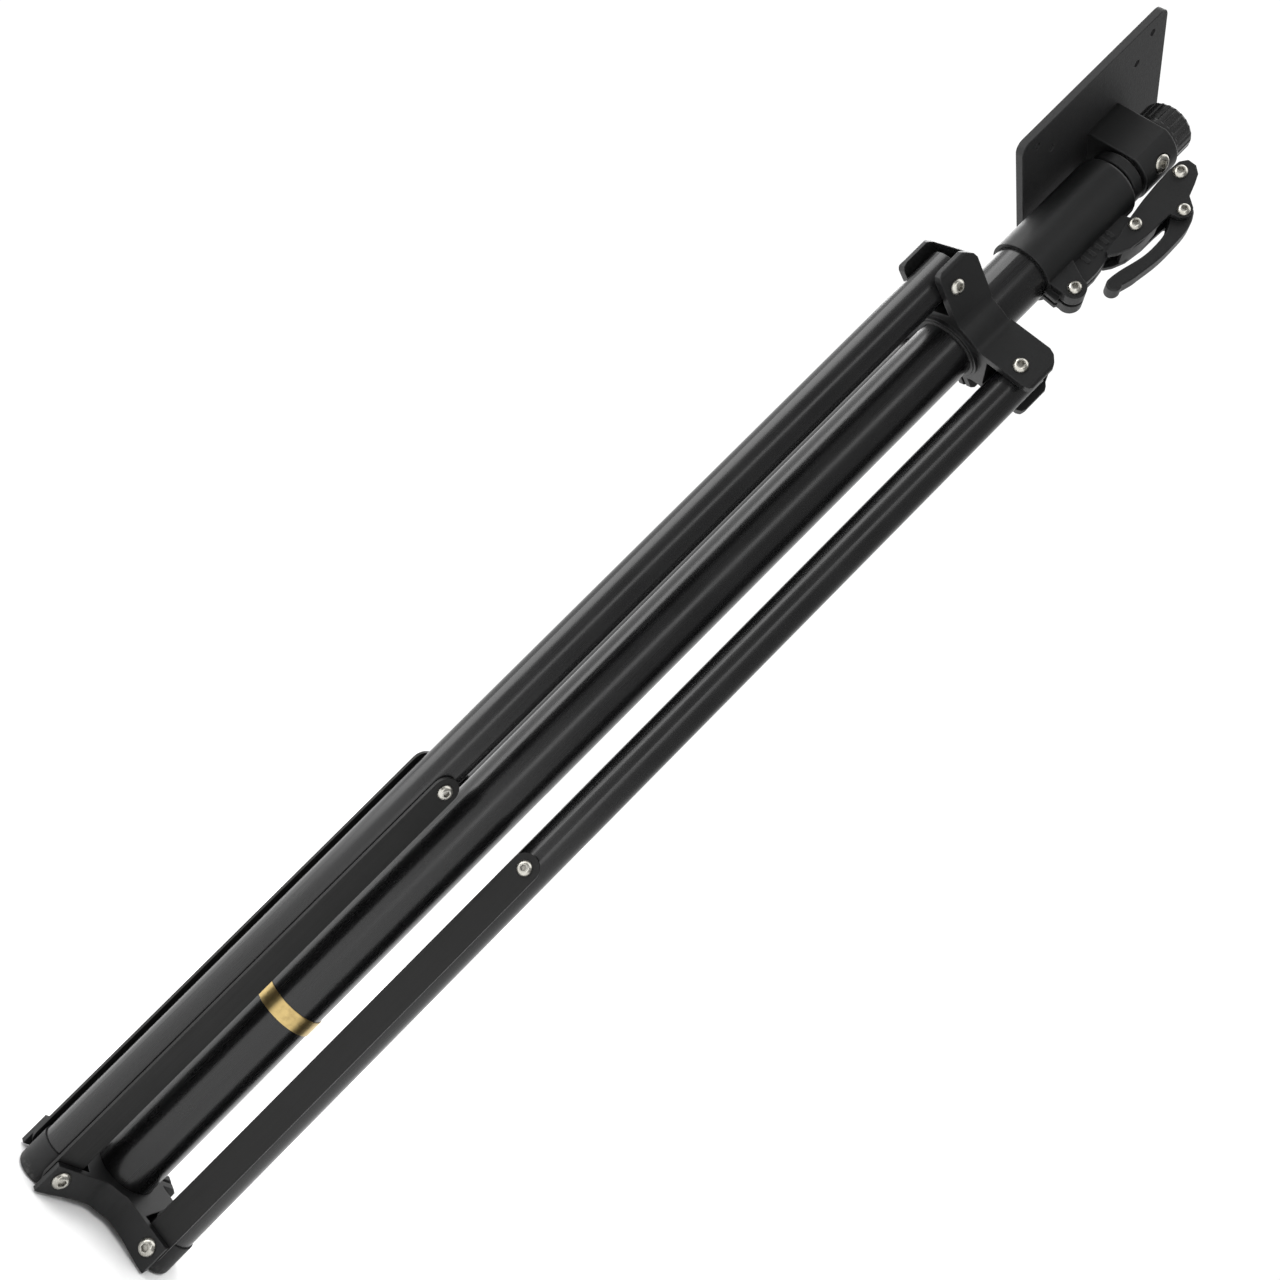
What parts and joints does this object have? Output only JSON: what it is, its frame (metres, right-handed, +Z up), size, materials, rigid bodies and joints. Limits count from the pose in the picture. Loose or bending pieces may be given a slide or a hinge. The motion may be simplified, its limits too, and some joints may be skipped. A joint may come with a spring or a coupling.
{
  "type": "folding light stand with mounting plate",
  "caption": "Folded stand: central column with sliding crown, leg tubes with strap braces, clamped telescopic mast and a panning square screen mounting plate.",
  "frame": {"origin": "on the column axis at floor level, at the underside of the column plug and of the leg boots, with the stand folded", "axes": "+Z up along the column; -Y is the way the mounting plate faces; +X to the right when the plate is seen from behind"},
  "size_m": [0.1191, 0.1103, 0.9035],
  "materials": {
    "gloss_tube": "gloss black powder coat over steel tube",
    "casting": "satin charcoal powder coat over die casting",
    "strap": "matte black paint over flat steel strap",
    "plate": "fine textured matte dark grey powder coat",
    "zinc": "bright nickel plated fasteners",
    "raw_alloy": "machined alloy insert",
    "brass_band": "brushed gold coloured band",
    "boot_rubber": "satin dark grey moulded rubber",
    "black_plastic": "matte black nylon",
    "knob_plastic": "gloss black moulded knob"
  },
  "bodies": {
    "column": {"column_tube": "gloss_tube", "column_plug": "black_plastic", "column_band": "brass_band", "hub_casting": "casting", "hub_pinch_bolt": "zinc", "hub_pivot_screws": "zinc", "collar_casting": "casting", "collar_pinch_bolt": "zinc", "clamp_arm_pivot": "zinc", "guide_bush": "black_plastic"},
    "crown": {"crown_casting": "casting", "crown_liner": "black_plastic", "crown_pinch_bolt": "zinc", "crown_pivot_pins": "zinc"},
    "leg_1": {"leg_1_tube": "gloss_tube", "leg_1_boot": "boot_rubber", "leg_1_top_plug": "black_plastic", "leg_1_rivet_core": "zinc"},
    "leg_2": {"leg_2_tube": "gloss_tube", "leg_2_boot": "boot_rubber", "leg_2_top_plug": "black_plastic", "leg_2_rivet_core": "zinc"},
    "leg_3": {"leg_3_tube": "gloss_tube", "leg_3_boot": "boot_rubber", "leg_3_top_plug": "black_plastic", "leg_3_rivet_core": "zinc"},
    "brace_1": {"brace_1_left_strap": "strap", "brace_1_right_strap": "strap", "brace_1_rivets": "zinc"},
    "brace_2": {"brace_2_left_strap": "strap", "brace_2_right_strap": "strap", "brace_2_rivets": "zinc"},
    "brace_3": {"brace_3_left_strap": "strap", "brace_3_right_strap": "strap", "brace_3_rivets": "zinc"},
    "mast": {"mast_tube": "gloss_tube", "mast_glide": "black_plastic", "mast_stop_ring": "casting", "mast_top_insert": "raw_alloy"},
    "head": {"head_block": "casting", "mount_plate": "plate", "plate_screws": "zinc", "head_lock_screw": "zinc"},
    "top_knob": {"knob": "knob_plastic", "knob_stud": "zinc"},
    "clamp": {"clamp_arm": "casting", "pressure_roller": "black_plastic", "roller_pin": "zinc", "lever_pin": "zinc"},
    "lever": {"cam_lever": "casting"}
  },
  "joints": [
    {"name": "crown_slide", "type": "slide", "parent": "column", "child": "crown", "axis": [0, 0, -1], "range_m": [0, 0.20893]},
    {"name": "leg_1_hinge", "type": "hinge", "parent": "crown", "child": "leg_1", "pos_m": [0.04179, -0.01439, 0.691], "axis": [-0.3256, -0.9455, 0], "range_deg": [0, 36]},
    {"name": "brace_1_hinge", "type": "hinge", "parent": "column", "child": "brace_1", "pos_m": [0.04179, -0.01439, 0.011], "axis": [0.3256, 0.9455, 0], "range_deg": [0, 58.38]},
    {"name": "leg_2_hinge", "type": "hinge", "parent": "crown", "child": "leg_2", "pos_m": [-0.00843, 0.04339, 0.691], "axis": [0.9816, 0.1908, 0], "range_deg": [0, 36]},
    {"name": "brace_2_hinge", "type": "hinge", "parent": "column", "child": "brace_2", "pos_m": [-0.00843, 0.04339, 0.011], "axis": [-0.9816, -0.1908, 0], "range_deg": [0, 58.38]},
    {"name": "leg_3_hinge", "type": "hinge", "parent": "crown", "child": "leg_3", "pos_m": [-0.03336, -0.029, 0.691], "axis": [-0.6561, 0.7547, 0], "range_deg": [0, 36]},
    {"name": "brace_3_hinge", "type": "hinge", "parent": "column", "child": "brace_3", "pos_m": [-0.03336, -0.029, 0.011], "axis": [0.6561, -0.7547, 0], "range_deg": [0, 58.38]},
    {"name": "mast_slide", "type": "slide", "parent": "column", "child": "mast", "axis": [0, 0, 1], "range_m": [0, 0.42]},
    {"name": "head_pan", "type": "hinge", "parent": "mast", "child": "head", "pos_m": [0, 0, 0.85], "axis": [0, 0, 1], "range_deg": [-60, 60]},
    {"name": "knob_turn", "type": "hinge", "parent": "mast", "child": "top_knob", "pos_m": [0, 0, 0.872], "axis": [0, 0, 1], "continuous": true},
    {"name": "clamp_rock", "type": "hinge", "parent": "column", "child": "clamp", "pos_m": [-0.00595, 0.03063, 0.8084], "axis": [-0.9816, -0.1908, 0], "range_deg": [0, 3]},
    {"name": "lever_swing", "type": "hinge", "parent": "clamp", "child": "lever", "pos_m": [-0.00878, 0.04515, 0.8336], "axis": [0.9816, 0.1908, 0], "range_deg": [0, 100]}
  ],
  "couplings": [
    {"joint": "leg_1_hinge", "follows": "crown_slide", "rad_per_m": 3.0073},
    {"joint": "brace_1_hinge", "follows": "crown_slide", "rad_per_m": 4.8766},
    {"joint": "leg_2_hinge", "follows": "crown_slide", "rad_per_m": 3.0073},
    {"joint": "brace_2_hinge", "follows": "crown_slide", "rad_per_m": 4.8766},
    {"joint": "leg_3_hinge", "follows": "crown_slide", "rad_per_m": 3.0073},
    {"joint": "brace_3_hinge", "follows": "crown_slide", "rad_per_m": 4.8766},
    {"joint": "clamp_rock", "follows": "lever_swing", "ratio": 0.03}
  ]
}
